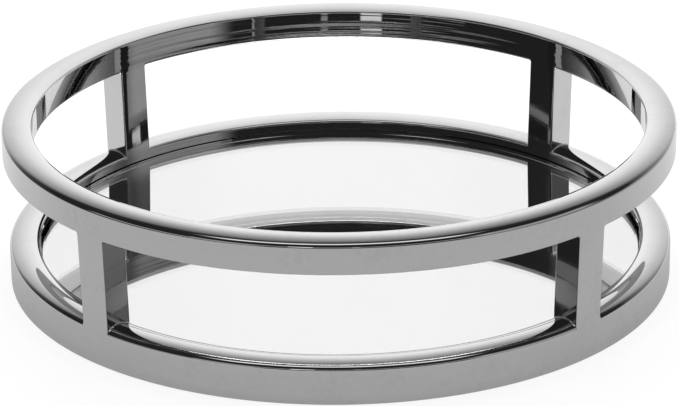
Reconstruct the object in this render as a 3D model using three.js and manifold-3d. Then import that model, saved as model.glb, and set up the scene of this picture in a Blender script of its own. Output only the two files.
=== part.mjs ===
// Round mirror tray: two rings of polished tube, four uprights between them and a mirror base.
// Millimetres, +Z up. The origin is the centre of the resting plane, and the front faces -Y.
import * as THREE from 'three';
import { mergeVertices } from 'three/addons/utils/BufferGeometryUtils.js';
import Module from 'manifold-3d';

const wasm = await Module();
wasm.setup();

// Frame of welded tube
const UPPER_RING_DIAMETER = 400;
const LOWER_RING_DIAMETER = 396;
const TUBE_DEPTH = 18; // radial width of the ring tubes and the uprights
const UPPER_RING_HEIGHT = 20.6;
const LOWER_RING_HEIGHT = 25.2;
const WINDOW_HEIGHT = 53.7; // clear height between the two rings
const TUBE_WALL = 1.5;
const CROWN_WIDTH = 8; // each top edge of a ring is rounded by a quarter ellipse
const CROWN_DROP = 4.5;
const BOTTOM_EDGE_RADIUS = 1.2;
const POST_WIDTH = 20.4;
const POST_ANGLES = {
  post_rear_right: 45,
  post_rear_left: 135,
  post_front_left: 225,
  post_front_right: 315,
};
const VENT_RADIUS = 4; // hole from each upright into a ring, which vents the closed tube
const WELD_GAP = 0.3;

// Base, from the mirror down
const MIRROR_SETBACK = 8.3; // depth of the glass below the top of the lower ring
const MIRROR_THICKNESS = 4;
const MIRROR_CLEARANCE = 0.5; // gap from the glass and the board to the ring
const MIRROR_CHAMFER = 0.8;
const TAPE_THICKNESS = 1;
const TAPE_WIDTH = 20;
const TAPE_COUNT = 4;
const TAPE_MARGIN = 12; // distance of the tape's ends from the edge of the board
const PANEL_THICKNESS = 6;
const PANEL_SKIN = 1.5; // board left above the tip of a screw

// Lugs and screws under the board
const LUG_COUNT = 6;
const LUG_THICKNESS = 2;
const LUG_WIDTH = 24;
const LUG_LENGTH = 16;
const LUG_CORNER = 5;
const SCREW_INSET = 8; // from a lug's free end to its screw
const SCREW_RADIUS = 1.75;
const SCREW_CLEARANCE = 0.3;
const SCREW_POINT = 2;
const SCREW_HEAD_RADIUS = 3.5;
const SCREW_HEAD_HEIGHT = 2.2;

// Pads under the lower ring
const PAD_COUNT = 6;
const PAD_RADIUS = 6;
const PAD_THICKNESS = 1;

// Chords on the round forms
const RING_SEGMENTS = 72;
const HOLE_SEGMENTS = 12;
const PAD_SEGMENTS = 24;
const CROWN_SEGMENTS = 4;
const HOLLOW_SEGMENTS = 2;
const EDGE_SEGMENTS = 2;
const LUG_SEGMENTS = 4;

// Levels and radii that follow from the sizes above
const lowerBottom = PAD_THICKNESS;
const lowerTop = lowerBottom + LOWER_RING_HEIGHT;
const upperBottom = lowerTop + WINDOW_HEIGHT;
const upperRadius = UPPER_RING_DIAMETER / 2;
const lowerRadius = LOWER_RING_DIAMETER / 2;
const facetShare = Math.cos(Math.PI / RING_SEGMENTS); // a chord's distance from the axis, over its ends'
const lowerBore = (lowerRadius - TUBE_DEPTH) * facetShare;
const mirrorTop = lowerTop - MIRROR_SETBACK;
const mirrorBottom = mirrorTop - MIRROR_THICKNESS;
const panelTop = mirrorBottom - TAPE_THICKNESS;
const panelBottom = panelTop - PANEL_THICKNESS;
const lugBottom = panelBottom - LUG_THICKNESS;
const baseRadius = lowerBore - MIRROR_CLEARANCE;
const lugOuter = lowerBore - WELD_GAP;
const screwCircle = lugOuter - LUG_LENGTH + SCREW_INSET;
const screwTip = panelTop - PANEL_SKIN;

const polishedSteel = new THREE.MeshStandardMaterial({ color: 0xd6d6d7, roughness: 0.06, metalness: 1 });
const silveredGlass = new THREE.MeshStandardMaterial({ color: 0xf0f2f2, roughness: 0.02, metalness: 1 });
const paintedBoard = new THREE.MeshStandardMaterial({ color: 0x232322, roughness: 0.7, metalness: 0 });
const foamTape = new THREE.MeshStandardMaterial({ color: 0xe6e4de, roughness: 0.9, metalness: 0 });
const zincSteel = new THREE.MeshStandardMaterial({ color: 0xb4b7ba, roughness: 0.35, metalness: 1 });
const greyFelt = new THREE.MeshStandardMaterial({ color: 0x3a3a3c, roughness: 1, metalness: 0 });

const radians = THREE.MathUtils.degToRad;
const evenAngles = (count) => Array.from({ length: count }, (_, i) => (2 * Math.PI * i) / count);

// A closed geometry as a solid that can be joined and cut
function solidOf(geometry) {
  const bare = new THREE.BufferGeometry();
  bare.setAttribute('position', geometry.getAttribute('position').clone());
  if (geometry.index) bare.setIndex(geometry.index.clone());
  const merged = mergeVertices(bare, 1e-4);
  const corners = merged.index.array;
  const triVerts = [];
  for (let i = 0; i < corners.length; i += 3) {
    const [a, b, c] = corners.slice(i, i + 3);
    const flat = a === b || b === c || c === a; // chords that shrink to a point on the axis
    if (!flat) triVerts.push(a, b, c);
  }
  return new wasm.Manifold(new wasm.Mesh({
    numProp: 3,
    vertProperties: new Float32Array(merged.getAttribute('position').array),
    triVerts: new Uint32Array(triVerts),
  }));
}

function geometryOf(solid) {
  const mesh = solid.getMesh();
  const geometry = new THREE.BufferGeometry();
  geometry.setAttribute('position', new THREE.BufferAttribute(mesh.vertProperties, 3));
  geometry.setIndex(new THREE.BufferAttribute(mesh.triVerts, 1));
  geometry.computeVertexNormals();
  return geometry;
}

function named(name, geometry, material) {
  const mesh = new THREE.Mesh(geometry, material);
  mesh.name = name;
  return mesh;
}

// Points of (radius, height), anticlockwise, turned about the Z axis
function turned(points, segments = RING_SEGMENTS) {
  return new THREE.LatheGeometry(points, segments).rotateX(Math.PI / 2);
}

function rod(radius, low, high, segments = HOLE_SEGMENTS) {
  const cylinder = new THREE.CylinderGeometry(radius, radius, high - low, segments);
  return cylinder.rotateX(Math.PI / 2).translate(0, 0, (low + high) / 2);
}

// Section of a ring's tube, with crowned top corners, moved out by grow on every side
function tubeSection(outerRadius, bottom, height, grow = 0, crownSegments = CROWN_SEGMENTS) {
  const crown = [Math.max(CROWN_WIDTH + grow, 0), Math.max(CROWN_DROP + grow, 0)];
  const edge = Math.max(BOTTOM_EDGE_RADIUS + grow, 0);
  const outer = outerRadius + grow;
  const inner = outerRadius - TUBE_DEPTH - grow;
  const low = bottom - grow;
  const high = bottom + height + grow;
  const corner = (x, y, [wide, tall], turn, segments) => {
    const start = (turn * Math.PI) / 2;
    return new THREE.EllipseCurve(x, y, wide, tall, start, start + Math.PI / 2).getPoints(segments);
  };
  const outline = [
    ...corner(outer - edge, low + edge, [edge, edge], 3, EDGE_SEGMENTS),
    ...corner(outer - crown[0], high - crown[1], crown, 0, crownSegments),
    ...corner(inner + crown[0], high - crown[1], crown, 1, crownSegments),
    ...corner(inner + edge, low + edge, [edge, edge], 2, EDGE_SEGMENTS),
  ];
  return [...outline, outline[0].clone()];
}

// Bent tube: its hollow opens only through the vents inside the uprights
function ringTube(outerRadius, bottom, height, ventLow, ventHigh) {
  const skin = solidOf(turned(tubeSection(outerRadius, bottom, height)));
  const hollow = solidOf(turned(tubeSection(outerRadius, bottom, height, -TUBE_WALL, HOLLOW_SEGMENTS)));
  let tube = skin.subtract(hollow);
  for (const degrees of Object.values(POST_ANGLES)) {
    const vent = rod(VENT_RADIUS, ventLow, ventHigh);
    vent.translate(outerRadius - TUBE_DEPTH / 2, 0, 0).rotateZ(radians(degrees));
    tube = tube.subtract(solidOf(vent));
  }
  return tube;
}

// Upright of square tube: it leans out to the wider upper ring, is coped over the crowns of the rings,
// and its faces are ground to the curve of the rings' walls
function upright(degrees) {
  const foot = lowerTop - CROWN_DROP;
  const head = upperBottom + BOTTOM_EDGE_RADIUS;
  const lean = upperRadius - lowerRadius;
  const flushBand = turned([
    [lowerRadius - TUBE_DEPTH, foot],
    [lowerRadius, foot],
    [lowerRadius, lowerTop],
    [upperRadius, upperBottom],
    [upperRadius, head],
    [upperRadius - TUBE_DEPTH, head],
    [upperRadius - TUBE_DEPTH, upperBottom],
    [lowerRadius - TUBE_DEPTH, lowerTop],
    [lowerRadius - TUBE_DEPTH, foot],
  ].map(([x, y]) => new THREE.Vector2(x, y)));
  const bar = (width, depth) => {
    const block = new THREE.BoxGeometry(depth, width, head - foot);
    const slope = new THREE.Matrix4().makeShear(0, 0, 0, 0, lean / WINDOW_HEIGHT, 0);
    const middle = (lowerRadius + upperRadius - TUBE_DEPTH) / 2;
    const rise = (foot + head - lowerTop - upperBottom) / 2;
    block.applyMatrix4(slope).translate(middle + (rise * lean) / WINDOW_HEIGHT, 0, (foot + head) / 2);
    return solidOf(block.rotateZ(radians(degrees)));
  };
  const bore = bar(POST_WIDTH - 2 * TUBE_WALL, TUBE_DEPTH - 2 * TUBE_WALL);
  return bar(POST_WIDTH, 2 * TUBE_DEPTH)
    .intersect(solidOf(flushBand))
    .subtract(bore)
    .subtract(solidOf(turned(tubeSection(lowerRadius, lowerBottom, LOWER_RING_HEIGHT, WELD_GAP))))
    .subtract(solidOf(turned(tubeSection(upperRadius, upperBottom, UPPER_RING_HEIGHT, WELD_GAP))));
}

function weldedFrame() {
  const frame = new THREE.Group();
  const upper = ringTube(upperRadius, upperBottom, UPPER_RING_HEIGHT,
    upperBottom - TUBE_WALL, upperBottom + 2 * TUBE_WALL);
  const lower = ringTube(lowerRadius, lowerBottom, LOWER_RING_HEIGHT,
    lowerTop - 2 * TUBE_WALL, lowerTop + TUBE_WALL);
  frame.add(named('upper_ring', geometryOf(upper), polishedSteel));
  frame.add(named('lower_ring', geometryOf(lower), polishedSteel));
  for (const [name, degrees] of Object.entries(POST_ANGLES)) {
    frame.add(named(name, geometryOf(upright(degrees)), polishedSteel));
  }
  return frame;
}

// Glass with seamed edges
function mirrorGlass() {
  const rim = baseRadius - MIRROR_CHAMFER;
  const profile = [
    [0, mirrorBottom],
    [rim, mirrorBottom],
    [baseRadius, mirrorBottom + MIRROR_CHAMFER],
    [baseRadius, mirrorTop - MIRROR_CHAMFER],
    [rim, mirrorTop],
    [0, mirrorTop],
  ].map(([x, y]) => new THREE.Vector2(x, y));
  return named('mirror_glass', geometryOf(solidOf(turned(profile))), silveredGlass);
}

// Strips across the board, each as long as the board allows where it lies
function mirrorTapes() {
  const reach = baseRadius - TAPE_MARGIN;
  const pitch = (2 * reach) / (TAPE_COUNT + 1);
  return Array.from({ length: TAPE_COUNT }, (_, i) => {
    const across = (i - (TAPE_COUNT - 1) / 2) * pitch;
    const edge = Math.abs(across) + TAPE_WIDTH / 2;
    const length = 2 * Math.sqrt(reach ** 2 - edge ** 2);
    const strip = new THREE.BoxGeometry(length, TAPE_WIDTH, TAPE_THICKNESS);
    const tape = named(`mirror_tape_${i + 1}`, strip, foamTape);
    tape.position.set(0, across, panelTop + TAPE_THICKNESS / 2);
    return tape;
  });
}

// Board with a blind hole for each screw
function basePanel() {
  let board = solidOf(rod(baseRadius, panelBottom, panelTop, RING_SEGMENTS));
  for (const angle of evenAngles(LUG_COUNT)) {
    const pilot = rod(SCREW_RADIUS + SCREW_CLEARANCE, panelBottom - SCREW_CLEARANCE, screwTip + SCREW_CLEARANCE);
    board = board.subtract(solidOf(pilot.translate(screwCircle, 0, 0).rotateZ(angle)));
  }
  return named('base_panel', geometryOf(board), paintedBoard);
}

// Flat lug: its outer end follows the ring's inner wall, and its free corners are rounded
function lugPlate() {
  const half = LUG_WIDTH / 2;
  const free = lugOuter - LUG_LENGTH;
  const spread = Math.asin(half / lugOuter);
  const outline = new THREE.Shape();
  outline.absarc(0, 0, lugOuter, -spread, spread, false);
  outline.lineTo(free + LUG_CORNER, half);
  outline.absarc(free + LUG_CORNER, half - LUG_CORNER, LUG_CORNER, Math.PI / 2, Math.PI, false);
  outline.absarc(free + LUG_CORNER, LUG_CORNER - half, LUG_CORNER, Math.PI, (3 * Math.PI) / 2, false);
  outline.closePath();
  const hole = new THREE.Path();
  hole.absarc(screwCircle, 0, SCREW_RADIUS + SCREW_CLEARANCE, 0, 2 * Math.PI, true);
  outline.holes.push(hole);
  return new THREE.ExtrudeGeometry(outline, {
    depth: LUG_THICKNESS,
    bevelEnabled: false,
    curveSegments: LUG_SEGMENTS,
  });
}

// Round-headed screw, with its head under the lug and its point in the board
function lugScrew() {
  const dome = new THREE.EllipseCurve(0, lugBottom, SCREW_HEAD_RADIUS, SCREW_HEAD_HEIGHT, -Math.PI / 2, 0);
  const profile = [
    ...dome.getPoints(EDGE_SEGMENTS * 2),
    new THREE.Vector2(SCREW_RADIUS, lugBottom),
    new THREE.Vector2(SCREW_RADIUS, screwTip - SCREW_POINT),
    new THREE.Vector2(0, screwTip),
  ];
  return geometryOf(solidOf(turned(profile, HOLE_SEGMENTS)));
}

function lugsAndScrews() {
  return evenAngles(LUG_COUNT).flatMap((angle, i) => {
    const lug = named(`lug_${i + 1}`, lugPlate(), polishedSteel);
    lug.position.z = lugBottom;
    lug.rotation.z = angle;
    const screw = named(`lug_screw_${i + 1}`, lugScrew(), zincSteel);
    screw.position.set(screwCircle * Math.cos(angle), screwCircle * Math.sin(angle), 0);
    return [lug, screw];
  });
}

// Felt discs between the lugs, on the middle of the ring's underside
function feltPads() {
  const circle = lowerRadius - TUBE_DEPTH / 2;
  const turn = Math.PI / PAD_COUNT;
  return evenAngles(PAD_COUNT).map((angle, i) => {
    const pad = named(`felt_pad_${i + 1}`, rod(PAD_RADIUS, 0, PAD_THICKNESS, PAD_SEGMENTS), greyFelt);
    pad.position.set(circle * Math.cos(angle + turn), circle * Math.sin(angle + turn), 0);
    return pad;
  });
}

const mirrorBase = new THREE.Group();
mirrorBase.add(mirrorGlass(), ...mirrorTapes(), basePanel(), ...lugsAndScrews());

const tray = new THREE.Group();
tray.add(weldedFrame(), mirrorBase, ...feltPads());

export default tray;
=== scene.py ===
import math

import bmesh
import bpy
import numpy as np
from mathutils import Matrix, Vector, kdtree


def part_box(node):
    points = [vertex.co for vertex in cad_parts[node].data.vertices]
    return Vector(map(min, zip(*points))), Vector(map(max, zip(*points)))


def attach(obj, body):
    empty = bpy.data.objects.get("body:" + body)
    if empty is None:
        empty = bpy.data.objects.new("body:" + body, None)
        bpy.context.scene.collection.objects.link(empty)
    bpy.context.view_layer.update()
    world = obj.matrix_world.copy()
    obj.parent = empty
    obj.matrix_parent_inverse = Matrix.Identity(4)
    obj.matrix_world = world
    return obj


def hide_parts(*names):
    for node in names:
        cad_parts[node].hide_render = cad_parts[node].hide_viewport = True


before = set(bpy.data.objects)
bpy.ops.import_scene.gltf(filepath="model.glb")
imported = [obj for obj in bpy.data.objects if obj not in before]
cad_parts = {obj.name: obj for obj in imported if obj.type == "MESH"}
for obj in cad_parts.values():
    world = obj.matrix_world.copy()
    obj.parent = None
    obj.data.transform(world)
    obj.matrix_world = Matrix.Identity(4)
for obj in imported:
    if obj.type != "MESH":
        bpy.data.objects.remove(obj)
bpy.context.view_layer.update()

scene = bpy.context.scene
scene.view_settings.view_transform = "Standard"
print("frame loaded:", len(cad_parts), "nodes")


# small helpers for node trees

def addNode(tree, kind, **settings):
    node = tree.nodes.new(kind)
    for name, value in settings.items():
        setattr(node, name, value)
    return node


def feed(tree, socket, value):
    # a socket takes either a link or a plain value
    if hasattr(value, "is_output"):
        tree.links.new(value, socket)
    else:
        socket.default_value = value


def sums(tree, operation, a, b=None, c=None, clamp=False):
    node = addNode(tree, "ShaderNodeMath", operation=operation, use_clamp=clamp)
    for socket, value in zip(node.inputs, (a, b, c)):
        if value is not None:
            feed(tree, socket, value)
    return node.outputs[0]


def remap(tree, value, fromLow, fromHigh, toLow, toHigh, smooth=False):
    node = addNode(tree, "ShaderNodeMapRange")
    if smooth:
        node.interpolation_type = "SMOOTHSTEP"
    for socket, item in zip(node.inputs, (value, fromLow, fromHigh, toLow, toHigh)):
        feed(tree, socket, item)
    return node.outputs[0]


def greyRamp(tree, value, stops):
    node = addNode(tree, "ShaderNodeValToRGB")
    feed(tree, node.inputs[0], value)
    ramp = node.color_ramp
    ramp.interpolation = "LINEAR"
    while len(ramp.elements) < len(stops):
        ramp.elements.new(1)
    for element, (place, grey) in zip(ramp.elements, stops):
        element.position = place
        element.color = (grey, grey, grey, 1)
    return node.outputs[0]


def mixColour(tree, share, first, second):
    node = addNode(tree, "ShaderNodeMix", data_type="RGBA")
    feed(tree, node.inputs["Factor"], share)
    feed(tree, node.inputs[6], first)
    feed(tree, node.inputs[7], second)
    return node.outputs[2]


def split3(tree, vector):
    node = addNode(tree, "ShaderNodeSeparateXYZ")
    feed(tree, node.inputs[0], vector)
    return node.outputs


def objectSpot(tree):
    return addNode(tree, "ShaderNodeTexCoord").outputs["Object"]


# small helpers for meshes

def circle(radius, z, count, middle=0.0):
    # points round an upright line that stands this far along x
    angles = [2 * math.pi * i / count for i in range(count)]
    return [(middle + radius * math.cos(a), radius * math.sin(a), z) for a in angles]


def gridFaces(bm, rows, flip=False):
    lines = [[bm.verts.new(p) for p in row] for row in rows]
    for a, b in zip(lines, lines[1:]):
        for i in range(len(a) - 1):
            corners = (a[i], a[i + 1], b[i + 1], b[i])
            bm.faces.new(corners[::-1] if flip else corners)


def ringFaces(bm, rings, loop=False):
    # quads between closed rings of points; loop joins the last ring to the first
    lines = [[bm.verts.new(p) for p in ring] for ring in rings]
    pairs = list(zip(lines, lines[1:])) + ([(lines[-1], lines[0])] if loop else [])
    for a, b in pairs:
        for i in range(len(a)):
            j = (i + 1) % len(a)
            bm.faces.new((a[i], a[j], b[j], b[i]))
    return lines


def closedMesh(name, bm, smooth=True):
    bmesh.ops.recalc_face_normals(bm, faces=bm.faces)
    for face in bm.faces:
        face.smooth = smooth
    mesh = bpy.data.meshes.new(name)
    bm.to_mesh(mesh)
    bm.free()
    return mesh


def latheMesh(name, profile, segments):
    # a profile of radius and height turned round the axis; radius 0 closes it
    bm = bmesh.new()
    rings = []
    for r, z in profile:
        if r == 0:
            rings.append([bm.verts.new((0, 0, z))] * segments)
        else:
            rings.append([bm.verts.new(p) for p in circle(r, z, segments)])
    for a, b in zip(rings, rings[1:]):
        for i in range(segments):
            j = (i + 1) % segments
            corners = []
            for v in (a[i], a[j], b[j], b[i]):
                if v not in corners:
                    corners.append(v)
            bm.faces.new(corners)
    return closedMesh(name, bm, False)


# a piece rides on the tray's one body and stands for CAD nodes, which it hides

def joinFrame(piece, slot, *nodes):
    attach(piece, "root")
    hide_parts(*nodes)
    return piece


def addPiece(name, mesh, slot, *nodes):
    piece = bpy.data.objects.new(name, mesh)
    scene.collection.objects.link(piece)
    return joinFrame(piece, slot, *nodes)


# camera

camera = {
    "place": (-0.00597, -2.0, 0.8645),
    "pitchDown": 22.389,
    "yaw": 0.166,
    "roll": -0.617,
    "lens": 191.18,
    "sensor": 36.0,
}


def makeCamera(c):
    data = bpy.data.cameras.new("camera")
    data.sensor_width = c["sensor"]
    data.lens = c["lens"]
    pitch, yaw, roll = (math.radians(c[k]) for k in ("pitchDown", "yaw", "roll"))
    ahead = Vector((math.sin(yaw) * math.cos(pitch), math.cos(yaw) * math.cos(pitch), -math.sin(pitch)))
    right = Vector((math.cos(yaw), -math.sin(yaw), 0))
    up = right.cross(ahead)
    right, up = right * math.cos(roll) + up * math.sin(roll), up * math.cos(roll) - right * math.sin(roll)
    turn = Matrix((right, up, -ahead)).transposed().to_4x4()
    cam = bpy.data.objects.new("camera", data)
    cam.matrix_world = Matrix.Translation(c["place"]) @ turn
    scene.collection.objects.link(cam)
    scene.camera = cam


makeCamera(camera)
print("camera placed")


# studio: world, backdrop, floor and soft lamp

studio = {
    # backdrop sheet curved over the tray: grey by angle up from the horizon behind, share by angle sideways
    "sheetRadius": 0.8,
    "sheetFaces": (24, 96),  # up and round
    "sheetRise": ((0, 1.12), (30, 1.08), (42, 0.98), (52, 0.84), (62, 0.65),
                  (74, 0.44), (86, 0.25), (95, 0.03), (110, 0.02), (125, 0)),
    "sheetTop": 1.2,  # a ramp holds greys up to 1, so the rise is divided by this and then multiplied
    "sheetFall": ((-90, 0), (-66, 0.03), (-57, 0.15), (-48, 0.42), (-24, 0.78), (-6, 0.98),
                  (6, 0.98), (24, 0.78), (48, 0.47), (60, 0.24), (80, 0.12), (90, 0)),
    "sheetSag": (12.0, 0.007),  # further aside than this its upper end comes down by this share a degree
    "sheetMirror": 1.05,  # the tray's mirror, looked into straight, has a pale backdrop on every side
    "again": 0.5,  # what is left of the backdrop and the floor each further time that steel reflects them
    # softbox overhead, a little to the front: angles as above
    "softbox": ((0, 0), (102, 0), (105, 1), (119, 1), (122, 0), (180, 0)),
    "softboxHalf": 0.62,  # half its length, over its height
    "softboxSoft": 0.15,  # how far its ends fade to both sides, as a share of that
    # pale walls low down at the sides, small lamps and a dim strip in front: bearing from the front, half the
    # width, lower and upper edge and softness, all in degrees, and grey
    "panels": ((-57, 30, -30, 8, 7, 0.42), (68, 22, -30, 23, 12, 0.36),
               (-13, 4, 12, 18.8, 1, 0.85), (5, 1.2, 12, 18.8, 1, 0.3), (0, 50, 10, 16, 2, 0.4)),
    "room": 0.02,
    "keyPower": 22.0,
    "keySize": 1.6,
    "keyPlace": (0.0, 0.2, 1.7),
    "floorSize": 40.0,
    "floorFaces": 4,  # each way
    "floorFront": 0.64,
    "floorBack": 1.0,
    "floorTurn": (-0.15, 0.35),  # y where the front's grey ends and the back's starts
    # share of the grey along x, which only reflections see: where the pale paper ends
    "floorEdge": ((-0.62, 0.06), (-0.42, 1), (0.45, 1), (0.65, 0.35)),
    "floorGlow": 0.9,  # of a camera ray's white, the rest is lit and takes the shadow
    "floorLit": 0.2,
    "floorShine": 0.55,  # even part of the floor's grey in reflections, beside the lit part
    "floorShineLit": 0.3,
}


def overAngle(tree, y, z):
    # 0 at the horizon behind the tray, 1 at the horizon in front
    angle = sums(tree, "ARCTAN2", sums(tree, "MAXIMUM", z, 0.0), y)
    return sums(tree, "DIVIDE", angle, math.pi, clamp=True)


def leftAgain(tree, path, share):
    # 1 for the first reflection in steel, and times the share for each further one; the mirror isn't counted
    mirror = sums(tree, "GREATER_THAN", path["Transmission Depth"], 0.5)
    further = sums(tree, "SUBTRACT", sums(tree, "SUBTRACT", path["Glossy Depth"], mirror), 1.0)
    further = sums(tree, "MULTIPLY", sums(tree, "MAXIMUM", further, 0.0), path["Is Reflection Ray"])
    return sums(tree, "POWER", share, further)


def panelLight(tree, bearing, height, panel):
    # a soft-edged patch of the surroundings
    middle, half, low, high, soft, grey = panel
    aside = sums(tree, "ABSOLUTE", sums(tree, "SUBTRACT", bearing, middle))
    share = remap(tree, aside, half - soft / 2, half + soft / 2, grey, 0, True)
    for edge, sign in ((low, 1), (high, -1)):
        within = remap(tree, height, edge - sign * soft / 2, edge + sign * soft / 2, 0, 1, True)
        share = sums(tree, "MULTIPLY", share, within)
    return share


def makeWorld(s):
    world = bpy.data.worlds.new("studio")
    scene.world = world
    world.use_nodes = True
    tree = world.node_tree
    tree.nodes.clear()
    x, y, z = split3(tree, addNode(tree, "ShaderNodeTexCoord").outputs["Generated"])
    lowest = 0.001  # keeps the reach finite at the horizon
    reach = sums(tree, "DIVIDE", sums(tree, "ABSOLUTE", x), sums(tree, "MAXIMUM", z, lowest))
    half, soft = s["softboxHalf"], s["softboxSoft"]
    within = remap(tree, reach, half * (1 - soft), half * (1 + soft), 1, 0, True)
    softbox = greyRamp(tree, overAngle(tree, y, z), [(a / 180, grey) for a, grey in s["softbox"]])
    light = sums(tree, "ADD", sums(tree, "MULTIPLY", softbox, within), s["room"])
    front = sums(tree, "MULTIPLY", y, -1.0)
    bearing = sums(tree, "MULTIPLY", sums(tree, "ARCTAN2", x, front), 180 / math.pi)
    height = sums(tree, "MULTIPLY", sums(tree, "ARCSINE", z), 180 / math.pi)
    for panel in s["panels"]:
        light = sums(tree, "ADD", light, panelLight(tree, bearing, height, panel))
    surroundings = addNode(tree, "ShaderNodeBackground")
    feed(tree, surroundings.inputs["Color"], light)
    seen = addNode(tree, "ShaderNodeBackground")
    seen.inputs["Color"].default_value = (1, 1, 1, 1)
    mix = addNode(tree, "ShaderNodeMixShader")
    feed(tree, mix.inputs[0], addNode(tree, "ShaderNodeLightPath").outputs["Is Camera Ray"])
    feed(tree, mix.inputs[1], surroundings.outputs[0])
    feed(tree, mix.inputs[2], seen.outputs[0])
    out = addNode(tree, "ShaderNodeOutputWorld")
    feed(tree, out.inputs["Surface"], mix.outputs[0])


def stageObject(name, mesh, coat):
    # an object of the studio, and the empty tree of its material
    thing = bpy.data.objects.new(name, mesh)
    scene.collection.objects.link(thing)
    material = bpy.data.materials.new(coat)
    material.use_nodes = True
    material.node_tree.nodes.clear()
    mesh.materials.append(material)
    return thing, material.node_tree


def addUp(tree, first, second):
    # two shaders together make the surface
    both = addNode(tree, "ShaderNodeAddShader")
    feed(tree, both.inputs[0], first.outputs[0])
    feed(tree, both.inputs[1], second.outputs[0])
    out = addNode(tree, "ShaderNodeOutputMaterial")
    feed(tree, out.inputs["Surface"], both.outputs[0])


def makeSheet(s):
    # the backdrop: a glowing dome that only reflections see, faded out towards the front
    r = s["sheetRadius"]
    rows, segments = s["sheetFaces"]
    angles = [math.pi / 2 * i / rows for i in range(rows)]
    profile = [(r * math.cos(a), r * math.sin(a)) for a in angles] + [(0, r)]
    sheet, tree = stageObject("backdrop", latheMesh("backdrop", profile, segments), "backdrop cloth")
    sheet.visible_camera = False
    sheet.visible_shadow = False
    spot = addNode(tree, "ShaderNodeVectorMath", operation="NORMALIZE")
    feed(tree, spot.inputs[0], objectSpot(tree))
    x, y, z = split3(tree, spot.outputs[0])
    turn = sums(tree, "ARCSINE", x)
    aside = remap(tree, turn, -math.pi / 2, math.pi / 2, 0, 1)
    start, perDegree = s["sheetSag"]
    beyond = sums(tree, "SUBTRACT", sums(tree, "ABSOLUTE", turn), math.radians(start))
    beyond = sums(tree, "MAXIMUM", beyond, 0.0)
    sag = sums(tree, "MULTIPLY_ADD", beyond, perDegree * 180 / math.pi, 1.0)
    over = sums(tree, "MULTIPLY", overAngle(tree, y, z), sag, clamp=True)
    rise = greyRamp(tree, over, [(a / 180, grey / s["sheetTop"]) for a, grey in s["sheetRise"]])
    fall = greyRamp(tree, aside, [(a / 180 + 0.5, share) for a, share in s["sheetFall"]])
    grey = sums(tree, "MULTIPLY", sums(tree, "MULTIPLY", rise, fall), s["sheetTop"])
    path = addNode(tree, "ShaderNodeLightPath").outputs
    grey = sums(tree, "MULTIPLY", grey, leftAgain(tree, path, s["again"]))
    once = sums(tree, "LESS_THAN", path["Glossy Depth"], 1.5)
    straight = sums(tree, "MULTIPLY", path["Is Transmission Ray"], once)
    grey = sums(tree, "MAXIMUM", grey, sums(tree, "MULTIPLY", straight, s["sheetMirror"]))
    glow = addNode(tree, "ShaderNodeEmission")
    feed(tree, glow.inputs["Strength"], grey)
    addUp(tree, glow, addNode(tree, "ShaderNodeBsdfTransparent"))


def makeFloor(s):
    mesh = bpy.data.meshes.new("floor")
    bm = bmesh.new()
    count = s["floorFaces"]
    bmesh.ops.create_grid(bm, x_segments=count, y_segments=count, size=s["floorSize"] / 2)
    bm.to_mesh(mesh)
    bm.free()
    tree = stageObject("floor", mesh, "pale floor")[1]
    x, y = split3(tree, objectSpot(tree))[:2]
    grey = remap(tree, y, *s["floorTurn"], s["floorFront"], s["floorBack"], True)
    path = addNode(tree, "ShaderNodeLightPath").outputs
    seen = path["Is Camera Ray"]
    mirrored = sums(tree, "MAXIMUM", path["Is Glossy Ray"], path["Is Transmission Ray"])
    paper = greyRamp(tree, sums(tree, "MULTIPLY_ADD", x, 0.5, 0.5),
                     [((place + 1) / 2, share) for place, share in s["floorEdge"]])
    grey = sums(tree, "MULTIPLY", grey, remap(tree, seen, 0, 1, paper, 1))
    grey = sums(tree, "MULTIPLY", grey, leftAgain(tree, path, s["again"]))
    litShare = remap(tree, mirrored, 0, 1, 1, s["floorShineLit"])
    litShare = remap(tree, seen, 0, 1, litShare, s["floorLit"])
    lit = addNode(tree, "ShaderNodeBsdfDiffuse")
    feed(tree, lit.inputs["Color"], sums(tree, "MULTIPLY", grey, litShare))
    shine = sums(tree, "MULTIPLY", sums(tree, "MULTIPLY", mirrored, grey), s["floorShine"])
    glow = addNode(tree, "ShaderNodeEmission")
    feed(tree, glow.inputs["Strength"], sums(tree, "MULTIPLY_ADD", seen, s["floorGlow"], shine))
    addUp(tree, lit, glow)


def makeLamp(s):
    data = bpy.data.lights.new("soft lamp", "AREA")
    data.energy = s["keyPower"]
    data.shape = "DISK"
    data.size = s["keySize"]
    lamp = bpy.data.objects.new("soft lamp", data)
    lamp.location = s["keyPlace"]
    lamp.visible_glossy = False
    scene.collection.objects.link(lamp)


makeWorld(studio)
makeSheet(studio)
makeFloor(studio)
makeLamp(studio)
print("studio set")


# finishes

def newFinish(name):
    finish = bpy.data.materials.new(name)
    finish.use_nodes = True
    tree = finish.node_tree
    return finish, tree, tree.nodes["Principled BSDF"]


def newGroup(name, takes, gives):
    # an empty shader group with named sockets: its tree, what it is given and where its results go
    tree = bpy.data.node_groups.new(name, "ShaderNodeTree")
    for way, sockets in (("INPUT", takes), ("OUTPUT", gives)):
        for socket, kind in sockets.items():
            tree.interface.new_socket(socket, in_out=way, socket_type="NodeSocket" + kind)
    given = addNode(tree, "NodeGroupInput").outputs
    return tree, given, addNode(tree, "NodeGroupOutput").inputs


def useGroup(tree, group, **values):
    node = addNode(tree, "ShaderNodeGroup", node_tree=group)
    for name, value in values.items():
        feed(tree, node.inputs[name], value)
    return node.outputs


def noise(tree, spot, scale, detail=3.0, roughness=0.55):
    node = addNode(tree, "ShaderNodeTexNoise")
    for name, value in (("Vector", spot), ("Scale", scale), ("Detail", detail), ("Roughness", roughness)):
        feed(tree, node.inputs[name], value)
    return node.outputs["Fac"]


noiseSpan = (0.3, 0.7)  # most of a noise's values lie between these

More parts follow.
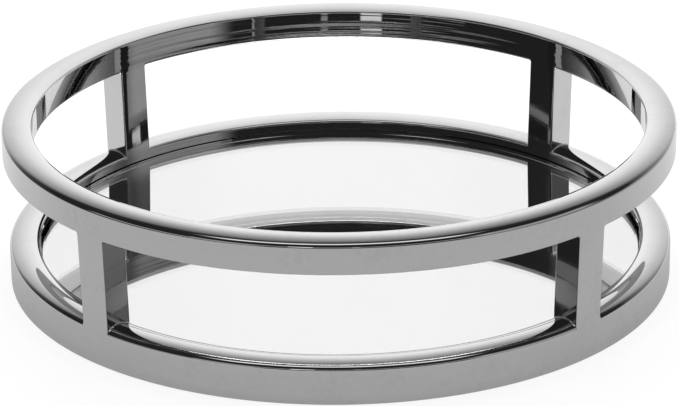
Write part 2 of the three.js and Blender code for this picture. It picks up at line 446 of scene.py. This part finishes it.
handMarks = {
    "broad": (5.0, 0.62),  # detail and roughness of the patches
    "fineScale": 7.0,  # how many times finer the pattern in them is
    "fineShare": (0.75, 1.2),  # by which it thins and thickens them
    "edge": (0.46, 0.78),  # clear below the first, full above the second
}


def smudgeGroup(s):
    # soft hand marks: clear over most of the surface, up to Amount in patches
    tree, given, out = newGroup("smudges", {"Spot": "Vector", "Scale": "Float", "Amount": "Float"},
                                {"Mask": "Float"})
    broad = noise(tree, given["Spot"], given["Scale"], *s["broad"])
    fine = noise(tree, given["Spot"], sums(tree, "MULTIPLY", given["Scale"], s["fineScale"]), detail=2.0)
    marks = sums(tree, "MULTIPLY", broad, remap(tree, fine, *noiseSpan, *s["fineShare"]))
    feed(tree, out["Mask"], remap(tree, marks, *s["edge"], 0, given["Amount"], True))
    return tree


def lineGroup():
    # lines drawn out along one way: Stretch holds how fine they are along x, y and z
    tree, given, out = newGroup("drawn lines", {"Spot": "Vector", "Stretch": "Vector"}, {"Lines": "Float"})
    drawn = addNode(tree, "ShaderNodeMapping")
    feed(tree, drawn.inputs["Vector"], given["Spot"])
    feed(tree, drawn.inputs["Scale"], given["Stretch"])
    feed(tree, out["Lines"], noise(tree, drawn.outputs[0], scale=1.0, detail=2.0, roughness=0.5))
    return tree


grainLook = {
    "coarse": (4.0, 0.7),  # detail and roughness
    "cellScale": 1.7,
    "cellShare": 0.5,  # height of the cells, beside the coarse grain
    "colourEdge": (0.5, 1.0),  # heights of the dark and the light colour
    "roughEdge": (0.4, 1.0),  # heights between which the roughness grows
    "rougher": 0.12,
}


def grainGroup(s):
    # fine grain of paint, foam or felt: two colours and a height
    takes = {"Spot": "Vector", "Scale": "Float", "Dark": "Color", "Light": "Color"}
    tree, given, out = newGroup("grain", takes, {"Colour": "Color", "Height": "Float"})
    coarse = noise(tree, given["Spot"], given["Scale"], *s["coarse"])
    cells = addNode(tree, "ShaderNodeTexVoronoi")
    feed(tree, cells.inputs["Vector"], given["Spot"])
    feed(tree, cells.inputs["Scale"], sums(tree, "MULTIPLY", given["Scale"], s["cellScale"]))
    height = sums(tree, "MULTIPLY_ADD", cells.outputs["Distance"], s["cellShare"], coarse)
    share = remap(tree, height, *s["colourEdge"], 0, 1)
    feed(tree, out["Colour"], mixColour(tree, share, given["Dark"], given["Light"]))
    feed(tree, out["Height"], height)
    return tree


smudges, drawnLines, grain = smudgeGroup(handMarks), lineGroup(), grainGroup(grainLook)


def bump(tree, height, distance, under=None):
    node = addNode(tree, "ShaderNodeBump")
    feed(tree, node.inputs["Height"], height)
    node.inputs["Distance"].default_value = distance
    if under is not None:
        feed(tree, node.inputs["Normal"], under)
    return node.outputs[0]


def grainFinish(name, s):
    finish, tree, skin = newFinish(name)
    found = useGroup(tree, grain, Spot=objectSpot(tree), Scale=s["grain"], Dark=s["dark"], Light=s["light"])
    feed(tree, skin.inputs["Base Color"], found["Colour"])
    feed(tree, skin.inputs["Normal"], bump(tree, found["Height"], s["grainDepth"]))
    least = s["roughness"]
    most = min(least + grainLook["rougher"], 1)
    rough = remap(tree, found["Height"], *grainLook["roughEdge"], least, most)
    feed(tree, skin.inputs["Roughness"], rough)
    return finish


def metalFinish(name, s):
    # a duller metal with drawn lines and marks
    finish, tree, skin = newFinish(name)
    spot = objectSpot(tree)
    marks = useGroup(tree, smudges, Spot=spot, Scale=s["marks"], Amount=1.0)["Mask"]
    lines = useGroup(tree, drawnLines, Spot=spot, Stretch=s["lines"])["Lines"]
    feed(tree, skin.inputs["Base Color"], mixColour(tree, marks, s["clean"], s["marked"]))
    feed(tree, skin.inputs["Roughness"], remap(tree, lines, *noiseSpan, *s["gloss"]))
    skin.inputs["Metallic"].default_value = 1
    feed(tree, skin.inputs["Normal"], bump(tree, lines, s["lineDepth"]))
    return finish


# geometry nodes: one shape repeated round the upright axis

def turnsTree():
    tree = bpy.data.node_groups.new("turns round the axis", "GeometryNodeTree")
    face = tree.interface
    for name, kind in (("Geometry", "Geometry"), ("Count", "Int"), ("Merge Distance", "Float"),
                       ("Finish", "Material")):
        face.new_socket(name, in_out="INPUT", socket_type="NodeSocket" + kind)
    face.new_socket("Geometry", in_out="OUTPUT", socket_type="NodeSocketGeometry")
    given = addNode(tree, "NodeGroupInput").outputs
    points = addNode(tree, "GeometryNodePoints")
    feed(tree, points.inputs["Count"], given["Count"])
    step = sums(tree, "DIVIDE", 2 * math.pi, given["Count"])
    index = addNode(tree, "GeometryNodeInputIndex").outputs[0]
    spin = addNode(tree, "ShaderNodeCombineXYZ")
    feed(tree, spin.inputs["Z"], sums(tree, "MULTIPLY", index, step))
    copies = addNode(tree, "GeometryNodeInstanceOnPoints")
    feed(tree, copies.inputs["Points"], points.outputs[0])
    feed(tree, copies.inputs["Instance"], given["Geometry"])
    feed(tree, copies.inputs["Rotation"], spin.outputs[0])
    real = addNode(tree, "GeometryNodeRealizeInstances")
    feed(tree, real.inputs[0], copies.outputs[0])
    weld = addNode(tree, "GeometryNodeMergeByDistance")
    feed(tree, weld.inputs["Geometry"], real.outputs[0])
    feed(tree, weld.inputs["Distance"], given["Merge Distance"])
    coat = addNode(tree, "GeometryNodeSetMaterial")
    feed(tree, coat.inputs["Geometry"], weld.outputs[0])
    feed(tree, coat.inputs["Material"], given["Finish"])
    out = addNode(tree, "NodeGroupOutput")
    feed(tree, out.inputs[0], coat.outputs[0])
    return tree


turns = turnsTree()


def settled(piece):
    # what the modifiers make becomes the piece's own mesh
    ready = bpy.context.evaluated_depsgraph_get()
    mesh = bpy.data.meshes.new_from_object(piece.evaluated_get(ready))
    piece.modifiers.clear()
    piece.data = mesh
    mesh.name = piece.name
    return piece


def turned(name, mesh, finish, count, merge):
    # repeats a mesh with the tree above and gives back one plain mesh object
    piece = bpy.data.objects.new(name, mesh)
    scene.collection.objects.link(piece)
    modifier = piece.modifiers.new("turns", "NODES")
    modifier.node_group = turns
    values = {"Count": count, "Merge Distance": merge, "Finish": finish}
    for socket in turns.interface.items_tree:
        if socket.in_out == "INPUT" and socket.name in values:
            modifier[socket.identifier] = values[socket.name]
    return settled(piece)


# the welded frame: two tube rings and four uprights, ground and polished as one

frameShape = {
    "depth": 0.018,  # of both tubes, across
    "archTilt": 27.0,  # slope of the crowned top where it meets its edges
    "edgeOuter": 0.0039,  # rounds of the crowned tops' edges, outside and inside
    "edgeInner": 0.0018,
    "underRound": 0.001,  # of the upper ring's lower edges, outside and inside
    "underInner": 0.002,
    "footRound": 0.001,
    "postWidth": 0.0204,
    "postRound": 0.001,
    "cornerTop": 0.0016,  # rounds in the windows' corners
    "cornerFoot": 0.0009,
    "leanEase": 0.004,  # half the height over which a ring's wall bends into the uprights' lean
    "edgeSteps": 26,
    "cornerSteps": 8,
    "sideSteps": 12,
    "roundSteps": 10,
    "archSteps": 12,
    "wallSteps": 3,
    "slopeStep": 1e-4,  # steps for the slopes that give the normals
    "wallSlopeStep": 1e-5,
    "mergeEighths": 1e-6,
    "mergeQuarters": 2e-6,
    "clean": (0.735, 0.735, 0.74, 1),
    "marked": (0.70, 0.70, 0.70, 1),
    "marks": 34.0,
    "gloss": (0.018, 0.075),  # roughness of clean and marked metal
    "rolling": (2.5, 2.5, 150.0),  # waves left by the tube mill, drawn out round the rings
    "rollingDepth": 0.00004,
    "innerSide": (0.186, 0.192),  # radii between which the rings' inner side ends
    "rollingInside": 6.5,  # times deeper on the inner side of the upper ring, at the front and the back
    "rollingAside": (0.09, 0.15, 0.1),  # towards the sides this falls, between these |y|, to the third number
    "rollingLower": 0.4,  # times as deep on the inner side of the lower ring
    "uprights": (0.0265, 0.0795),  # no waves between these heights
    "uprightsFade": 0.002,
    "polish": (60.0, 60.0, 2600.0),  # hairlines left by the polishing
    "polishDepth": 0.0000012,
}


class WindowSheet:
    # one eighth of the frame, from the middle of a window to the middle of an upright

    def __init__(self, s):
        self.s = s
        upperLow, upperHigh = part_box("upper_ring")
        lowerLow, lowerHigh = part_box("lower_ring")
        self.upperRadius, self.lowerRadius = upperHigh.x, lowerHigh.x
        self.top, self.lintel = upperHigh.z, upperLow.z
        self.sill, self.foot = lowerHigh.z, lowerLow.z
        self.half = s["postWidth"] / 2
        n, m = s["roundSteps"], s["archSteps"]
        self.levels = [i / n for i in range(n)] + [1 + i / m for i in range(m + 1)]

    def lean(self, z):
        # outer radius: upright on the rings, slanted on the uprights, eased between
        ease = self.s["leanEase"]

        def rise(x):
            if abs(x) >= ease:
                return max(x, 0)
            return (x + ease) ** 2 / (4 * ease)

        share = (rise(z - self.sill) - rise(z - self.lintel)) / (self.lintel - self.sill)
        return self.lowerRadius + (self.upperRadius - self.lowerRadius) * share

    def place(self, fromPost, r, z):
        turn = math.pi / 4 - fromPost
        return np.array((r * math.sin(turn), -r * math.cos(turn), z))

    def edgeAngle(self, share, across, r):
        start = math.asin(across / r)
        return start + (math.pi / 4 - start) * share

    def edge(self, inner):
        # a crowned top: edge radius, where the arch starts, arch radius and the whole drop
        s = self.s
        tilt = math.radians(s["archTilt"])
        small = s["edgeInner"] if inner else s["edgeOuter"]
        start = small * (1 - math.sin(tilt))
        wide = (s["depth"] / 2 - start) / math.sin(tilt)
        return small, start, wide, wide * (1 - math.cos(tilt)) + small * math.cos(tilt)

    def tilt(self, level):
        # slope of the crowned top at a level: 0 the wall, 1 the end of the edge, 2 the middle
        end = math.radians(self.s["archTilt"])
        return math.pi / 2 + (end - math.pi / 2) * level if level < 1 else end * (2 - level)

    def inset(self, level, inner):
        small, start, wide, whole = self.edge(inner)
        if level < 1:
            return small * (1 - math.sin(self.tilt(level)))
        return self.s["depth"] / 2 - wide * math.sin(self.tilt(level))

    def crown(self, inset, inner):
        # how far the crowned top lies under its middle
        small, start, wide, whole = self.edge(inner)
        if inset < start:
            return whole - math.sqrt(max(small ** 2 - (small - inset) ** 2, 0))
        return wide - math.sqrt(wide ** 2 - (self.s["depth"] / 2 - inset) ** 2)

    def drop(self, inset, radius):
        # the same for a plain rounded edge
        c = min(inset / radius, 1)
        return radius * (1 - math.sqrt(c * (2 - c)))

    def outline(self, u, inset, inner):
        # the window at one inset: u runs 0-1 top edge, 1-2 corner, 2-3 upright, 3-4 corner, 4-5 lower edge
        s = self.s
        side = self.half - self.drop(inset, s["postRound"])
        high = self.lintel + self.drop(inset, s["underInner"] if inner else s["underRound"])
        low = self.sill - self.crown(inset, inner)
        above, below = s["cornerTop"], s["cornerFoot"]
        if u <= 1:
            return side + above, high, 1 - u
        if u <= 2:
            a = (u - 1) * math.pi / 2
            return side + above * (1 - math.sin(a)), high - above * (1 - math.cos(a)), 0
        if u <= 3:
            return side, (high - above) * (3 - u) + (low + below) * (u - 2), 0
        if u <= 4:
            a = (4 - u) * math.pi / 2
            return side + below * (1 - math.sin(a)), low + below * (1 - math.cos(a)), 0
        return side + below, low, u - 4

    def point(self, u, level, inner):
        inset = self.inset(level, inner)
        across, z, share = self.outline(u, inset, inner)
        r = self.lean(z) - (self.s["depth"] - inset if inner else inset)
        return self.place(self.edgeAngle(share, across, r), r, z)

    def shade(self, u, level, inner):
        # exact normal, from the slopes along both ways
        e = self.s["slopeStep"]
        along = self.point(min(u + e, 5), level, inner) - self.point(max(u - e, 0), level, inner)
        over = self.point(u, level + e, inner) - self.point(u, max(level - e, 0), inner)
        normal = np.cross(along, over) * (1 if inner else -1)
        return normal / np.linalg.norm(normal)

    def wallPoint(self, fromPost, z, inner):
        r = self.lean(z) - (self.s["depth"] if inner else 0)
        e = self.s["wallSlopeStep"]
        slope = (self.lean(z + e) - self.lean(z - e)) / (2 * e)
        normal = self.place(fromPost, 1, -slope) * (-1 if inner else 1)
        return self.place(fromPost, r, z), normal / np.linalg.norm(normal)

    def stations(self):
        # u of every strip, its angle on the rim of the wall, and how far the rim has left for the upright
        s = self.s
        steps = (s["edgeSteps"], s["cornerSteps"], s["sideSteps"], s["cornerSteps"], s["edgeSteps"])
        middle = (self.upperRadius + self.lowerRadius - s["depth"]) / 2
        found = []
        for part, n in enumerate(steps):
            for i in range(n + (part == 4)):
                u = part + i / n
                across, z, share = self.outline(u, s["postRound"], False)
                if part in (0, 4):
                    found.append((u, self.edgeAngle(share, across, middle), 0, z))
                elif part == 2:
                    found.append((u, 0.0, 1, z))
                else:
                    turn = i / n if part == 1 else 1 - i / n
                    corner = self.outline(2 if part == 1 else 3, s["postRound"], False)[1]
                    start = math.asin(self.outline(1 if part == 1 else 4, s["postRound"], False)[0] / middle)
                    found.append((u, start * max(1 - 2 * turn, 0), max(2 * turn - 1, 0), corner))
        return found

    def strip(self, u, rimAngle, leave, post):
        # from the rim over the outer wall, through the window and over the inner wall, with normals
        s = self.s

        def side(inner):
            across, z, share = self.outline(u, 0, inner)
            angle = self.edgeAngle(share, across, self.lean(z) - (s["depth"] if inner else 0))
            rim = self.top - self.edge(inner)[3] if u < 2 else self.foot + s["footRound"]
            rim += (post - rim) * leave
            rows = []
            for i in range(s["wallSteps"]):
                t = i / s["wallSteps"]
                rows.append(self.wallPoint(rimAngle + (angle - rimAngle) * t, rim + (z - rim) * t, inner))
            return rows + [(self.point(u, v, inner), self.shade(u, v, inner)) for v in self.levels]

        return side(False) + side(True)[-2::-1]

    def lathe(self, angles, radius, top):
        # the closed top of the upper ring or underside of the lower one
        def half(angle, inner):
            found = []
            out = -1 if inner else 1
            for v in self.levels:
                inset = self.inset(v, inner)
                r = radius - (self.s["depth"] - inset if inner else inset)
                if top:
                    z, slope = self.top - self.crown(inset, inner), self.tilt(v)
                    normal = self.place(angle, out * math.sin(slope), math.cos(slope))
                else:
                    z = self.foot + self.drop(inset, self.s["footRound"])
                    c = 1 - min(inset / self.s["footRound"], 1)
                    normal = self.place(angle, out * c, -math.sqrt(1 - c * c))
                found.append((self.place(angle, r, z), normal))
            return found

        return [half(angle, False) + half(angle, True)[-2::-1] for angle in angles]

    def grids(self):
        stations = self.stations()
        m = self.s["edgeSteps"] + self.s["cornerSteps"] // 2 + 1
        return ([self.strip(*station) for station in stations],
                self.lathe([station[1] for station in stations[:m]], self.upperRadius, True),
                self.lathe([station[1] for station in stations[-m:]], self.lowerRadius, False))


def quarterMesh(grids, merge):
    window, cap, base = [[[p for p, n in row] for row in grid] for grid in grids]
    bm = bmesh.new()
    for side in (1, -1):
        for grid, flip in ((window, side > 0), (cap, side < 0), (base, side < 0)):
            gridFaces(bm, [[(p[0] * side, p[1], p[2]) for p in row] for row in grid], flip)
    bmesh.ops.remove_doubles(bm, verts=bm.verts, dist=merge)
    mesh = bpy.data.meshes.new("quarter frame")
    bm.to_mesh(mesh)
    bm.free()
    return mesh


def setNormals(mesh, grids):
    # every point takes the exact normal of its like in the first eighth
    known = [pair for grid in grids for row in grid for pair in row]
    tree = kdtree.KDTree(len(known))
    for i, (p, n) in enumerate(known):
        tree.insert(p, i)
    tree.balance()
    normals = []
    for v in mesh.vertices:
        r, angle = math.hypot(v.co.x, v.co.y), math.atan2(v.co.x, -v.co.y)
        turn = round(angle / (math.pi / 2)) * math.pi / 2
        angle -= turn
        found = tree.find((r * math.sin(abs(angle)), -r * math.cos(angle), v.co.z))[1]
        n = Vector(known[found][1])
        if angle < 0:
            n.x = -n.x
        n.rotate(Matrix.Rotation(turn, 3, "Z"))
        normals.append(n)
    mesh.normals_split_custom_set_from_vertices(normals)


def polishedSteel(s):
    finish, tree, skin = newFinish("polished steel")
    spot = objectSpot(tree)
    marks = useGroup(tree, smudges, Spot=spot, Scale=s["marks"], Amount=1.0)["Mask"]
    feed(tree, skin.inputs["Base Color"], mixColour(tree, marks, s["clean"], s["marked"]))
    feed(tree, skin.inputs["Roughness"], remap(tree, marks, 0, 1, *s["gloss"]))
    skin.inputs["Metallic"].default_value = 1
    waves = sums(tree, "SUBTRACT", useGroup(tree, drawnLines, Spot=spot, Stretch=s["rolling"])["Lines"], 0.5)
    x, y, z = split3(tree, spot)
    reach = sums(tree, "SQRT", sums(tree, "MULTIPLY_ADD", x, x, sums(tree, "MULTIPLY", y, y)))
    foot, head = s["uprights"]
    near, away, least = s["rollingAside"]
    inside = remap(tree, sums(tree, "ABSOLUTE", y), near, away, least, s["rollingInside"], True)
    inside = remap(tree, z, foot, head, s["rollingLower"], inside)
    waves = sums(tree, "MULTIPLY", waves, remap(tree, reach, *s["innerSide"], inside, 1, True))
    half = (head - foot) / 2
    fromMiddle = sums(tree, "ABSOLUTE", sums(tree, "SUBTRACT", z, (foot + head) / 2))
    waves = sums(tree, "MULTIPLY", waves, remap(tree, fromMiddle, half - s["uprightsFade"], half, 0, 1, True))
    hair = useGroup(tree, drawnLines, Spot=spot, Stretch=s["polish"])["Lines"]
    rolled = bump(tree, waves, s["rollingDepth"])
    feed(tree, skin.inputs["Normal"], bump(tree, hair, s["polishDepth"], rolled))
    return finish


def makeFrame(s):
    grids = WindowSheet(s).grids()
    quarter = quarterMesh(grids, s["mergeEighths"])
    piece = turned("polished_frame", quarter, polishedSteel(s), count=4, merge=s["mergeQuarters"])
    bm = bmesh.new()
    bm.from_mesh(piece.data)
    bmesh.ops.recalc_face_normals(bm, faces=bm.faces)
    for face in bm.faces:
        face.smooth = True
    openEdges = sum(1 for e in bm.edges if len(e.link_faces) != 2)
    bm.to_mesh(piece.data)
    bm.free()
    setNormals(piece.data, grids)
    joinFrame(piece, "polished_frame", "upper_ring", "lower_ring", "post_rear_right", "post_rear_left",
              "post_front_left", "post_front_right")
    print("frame made:", len(piece.data.polygons), "faces,", openEdges, "open edges")


makeFrame(frameShape)


# the mirror: clear glass with a silvered back

mirrorShape = {
    "chamfer": 0.0004,
    "tapeGap": 0.00005,  # keeps the silvering off the tape below it
    "segments": 144,
    "silver": (0.84, 0.84, 0.84, 1),
    "silverMarked": (0.83, 0.832, 0.83, 1),
    "silverMarks": 9.0,
    "silverRoughness": 0.008,
    "glass": (0.997, 1.0, 0.998, 1),
    "glassIndex": 1.52,
    "glassMarks": (16.0, 0.012),  # scale, and the roughness that they reach
}


def silvering(s):
    finish, tree, skin = newFinish("silvering")
    marks = useGroup(tree, smudges, Spot=objectSpot(tree), Scale=s["silverMarks"], Amount=1.0)["Mask"]
    feed(tree, skin.inputs["Base Color"], mixColour(tree, marks, s["silver"], s["silverMarked"]))
    skin.inputs["Metallic"].default_value = 1
    skin.inputs["Roughness"].default_value = s["silverRoughness"]
    return finish


def clearGlass(s):
    finish, tree, skin = newFinish("clear glass")
    scale, amount = s["glassMarks"]
    marks = useGroup(tree, smudges, Spot=objectSpot(tree), Scale=scale, Amount=amount)["Mask"]
    feed(tree, skin.inputs["Roughness"], marks)
    skin.inputs["Base Color"].default_value = s["glass"]
    skin.inputs["IOR"].default_value = s["glassIndex"]
    skin.inputs["Transmission Weight"].default_value = 1
    return finish


def makeMirror(s):
    low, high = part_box("mirror_glass")
    r, c = high.x, s["chamfer"]
    base = low.z + s["tapeGap"]
    profile = [(0, high.z), (r / 2, high.z), (r - c, high.z), (r, high.z - c),
               (r, base + c), (r - c, base), (r / 2, base), (0, base)]
    mesh = latheMesh("mirror_glass_plate", profile, s["segments"])
    mesh.materials.append(clearGlass(s))
    mesh.materials.append(silvering(s))
    down = -0.99  # faces that look down are silvered
    for face in mesh.polygons:
        face.material_index = 1 if face.normal.z < down else 0
    addPiece("mirror_glass_plate", mesh, "mirror", "mirror_glass")


makeMirror(mirrorShape)
print("mirror made")


# strips of foam tape under the mirror

tapeShape = {
    "count": 4,
    "edge": 0.00025,
    "steps": 24,
    "grain": 1400.0,
    "dark": (0.66, 0.64, 0.58, 1),
    "light": (0.86, 0.84, 0.79, 1),
    "roughness": 0.85,
    "grainDepth": 0.0003,
}


def numbered(stem, count):
    return [f"{stem}_{i}" for i in range(1, count + 1)]


def makeTapes(s):
    names = numbered("mirror_tape", s["count"])
    e = s["edge"]
    bm = bmesh.new()
    for name in names:
        low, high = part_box(name)
        section = ((low.y + e, low.z), (high.y - e, low.z), (high.y, low.z + e), (high.y, high.z - e),
                   (high.y - e, high.z), (low.y + e, high.z), (low.y, high.z - e), (low.y, low.z + e))
        rows = []
        for i in range(s["steps"] + 1):
            x = low.x + (high.x - low.x) * i / s["steps"]
            rows.append([(x, y, z) for y, z in section])
        lines = ringFaces(bm, rows)
        bm.faces.new(lines[0])
        bm.faces.new(lines[-1])
    mesh = closedMesh("foam_tapes", bm, False)
    mesh.materials.append(grainFinish("foam tape", s))
    addPiece("foam_tapes", mesh, "foam_tape", *names)


makeTapes(tapeShape)


# the painted board that carries the mirror

boardShape = {
    "chamfer": 0.0006,
    "segments": 144,
    "grain": 420.0,
    "dark": (0.014, 0.014, 0.0135, 1),
    "light": (0.03, 0.03, 0.029, 1),
    "roughness": 0.55,
    "grainDepth": 0.00025,
}


def makeBoard(s):
    low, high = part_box("base_panel")
    r, c = high.x, s["chamfer"]
    profile = [(0, high.z), (r - c, high.z), (r, high.z - c), (r, low.z + c),
               (r - c, low.z), (r / 2, low.z), (0, low.z)]
    mesh = latheMesh("painted_board", profile, s["segments"])
    mesh.materials.append(grainFinish("painted board", s))
    addPiece("painted_board", mesh, "base_board", "base_panel")


makeBoard(boardShape)


# steel lugs inside the lower ring, under the board

lugShape = {
    "count": 6,
    "corner": 0.005,
    "bevel": 0.00025,
    "hole": 0.00205,
    "points": 72,
    "furthest": 0.03,  # no point of the outline lies further from the screw
    "halvings": 30,
    "merge": 1e-7,
    "clean": (0.56, 0.56, 0.57, 1),
    "marked": (0.46, 0.45, 0.44, 1),
    "marks": 120.0,
    "gloss": (0.24, 0.42),
    "lines": (40.0, 40.0, 5200.0),
    "lineDepth": 0.00001,
}


def makeLugs(s):
    low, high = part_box("lug_1")
    screwLow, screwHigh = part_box("lug_screw_1")
    middle = (screwLow.x + screwHigh.x) / 2
    corner, bevel = s["corner"], s["bevel"]

    def inside(x, y):
        # a flat bar with two rounded corners, cut off by the ring's wall
        if math.hypot(x, y) > high.x or x < low.x or abs(y) > high.y:
            return False
        dx, dy = low.x + corner - x, abs(y) - high.y + corner
        return not (dx > 0 and dy > 0 and math.hypot(dx, dy) > corner)

    angles = [2 * math.pi * i / s["points"] for i in range(s["points"])]
    outline = []
    for a in angles:
        near, away = 0.0, s["furthest"]
        for step in range(s["halvings"]):
            t = (near + away) / 2
            near, away = (t, away) if inside(middle + t * math.cos(a), t * math.sin(a)) else (near, t)
        outline.append(near)

    def ring(reach, z):
        return [(middle + d * math.cos(a), d * math.sin(a), z) for d, a in zip(reach, angles)]

    hole = [s["hole"]] * len(angles)
    trimmed = [d - bevel for d in outline]
    bm = bmesh.new()
    ringFaces(bm, [ring(hole, low.z), ring(trimmed, low.z), ring(outline, low.z + bevel),
                   ring(outline, high.z - bevel), ring(trimmed, high.z), ring(hole, high.z)], True)
    finish = metalFinish("brushed steel", s)
    lugs = turned("steel_lugs", closedMesh("lug", bm, False), finish, s["count"], s["merge"])
    joinFrame(lugs, "steel_lugs", *numbered("lug", s["count"]))


makeLugs(lugShape)


# screws up through the lugs into the board

screwShape = {
    "count": 6,
    "points": 64,
    "headSteps": 24,
    "shank": 0.00175,
    "pitch": 0.0008,
    "threadDepth": 0.00035,
    "threadStart": 0.0001,  # above the head
    "tip": 0.002,
    "recessReach": 0.0019,  # half the length and half the width of the cross's arms
    "recessHalf": 0.00042,
    "recessDepth": 0.0011,
    "recessSlope": (0.00012, 0.0005),  # width of its slopes along the arms and at their ends
    "merge": 1e-7,
    "clean": (0.64, 0.65, 0.66, 1),
    "marked": (0.55, 0.55, 0.5, 1),
    "marks": 120.0,
    "gloss": (0.16, 0.34),
    "lines": (900.0, 900.0, 900.0),
    "lineDepth": 0.000004,
}


def recess(s, x, y):
    # share of the cross's depth at a point of the head
    narrow, wide = sorted((abs(x), abs(y)))
    along, ends = s["recessSlope"]
    side = min(max((s["recessHalf"] - narrow) / along, 0), 1)
    return side * min(max((s["recessReach"] - wide) / ends, 0), 1)


def makeScrews(s):
    low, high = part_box("lug_screw_1")
    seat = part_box("lug_1")[0].z
    middle, radius, n = (low.x + high.x) / 2, (high.x - low.x) / 2, s["points"]
    rings = []
    for i in range(1, s["headSteps"] + 1):
        # the domed head with its cross, from the middle outwards
        a = math.pi / 2 * i / s["headSteps"]
        row = []
        for x, y, z in circle(radius * math.sin(a), seat - (seat - low.z) * math.cos(a), n):
            row.append((middle + x, y, z + s["recessDepth"] * recess(s, x, y)))
        rings.append(row)
    z, k = seat + s["threadStart"], 0
    while z < high.z - s["tip"]:
        # thread: crests and roots in turn
        r = s["shank"] - (s["threadDepth"] if k % 2 else 0)
        rings.append(circle(r, z, n, middle))
        z, k = z + s["pitch"] / 2, k + 1
    bm = bmesh.new()
    lines = ringFaces(bm, rings)
    for line, end in ((lines[0], low.z + s["recessDepth"]), (lines[-1], high.z)):
        point = bm.verts.new((middle, 0, end))
        for j in range(n):
            bm.faces.new((line[j], line[(j + 1) % n], point))
    finish = metalFinish("zinc plate", s)
    screws = turned("zinc_screws", closedMesh("screw", bm), finish, s["count"], s["merge"])
    joinFrame(screws, "zinc_screws", *numbered("lug_screw", s["count"]))


makeScrews(screwShape)


# felt pads under the lower ring

padShape = {
    "count": 6,
    "points": 64,
    "edge": 0.00035,
    "rag": 0.006,  # a cut edge is never quite round
    "ragWaves": (7, 11),  # round the edge
    "merge": 1e-7,
    "grain": 2600.0,
    "dark": (0.026, 0.026, 0.027, 1),
    "light": (0.075, 0.074, 0.075, 1),
    "roughness": 0.86,
    "grainDepth": 0.0005,
}


def makePads(s):
    low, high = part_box("felt_pad_1")
    cx, cy, r = (low.x + high.x) / 2, (low.y + high.y) / 2, (high.x - low.x) / 2
    e = s["edge"]
    few, many = s["ragWaves"]
    # shares of the radius and heights, from the middle below to the middle above
    profile = ((0.25, low.z), (0.5, low.z), (0.75, low.z), (1 - 1.4 * e / r, low.z),
               (1 - 0.4 * e / r, low.z + 0.3 * e), (1, low.z + e), (1, high.z - 0.5 * e),
               (1 - 0.3 * e / r, high.z), (0.6, high.z), (0.3, high.z))
    rings = []
    for reach, z in profile:
        ring = []
        for j in range(s["points"]):
            a = 2 * math.pi * j / s["points"]
            out = r * reach * (1 - s["rag"] * (1 + math.sin(few * a) * math.sin(many * a + 1)))
            ring.append((cx + out * math.cos(a), cy + out * math.sin(a), z))
        rings.append(ring)
    bm = bmesh.new()
    lines = ringFaces(bm, rings)
    bm.faces.new(lines[0])
    bm.faces.new(lines[-1])
    finish = grainFinish("pressed felt", s)
    pads = turned("felt_pads", closedMesh("pad", bm), finish, s["count"], s["merge"])
    joinFrame(pads, "felt_pads", *numbered("felt_pad", s["count"]))


makePads(padShape)
print("base made")
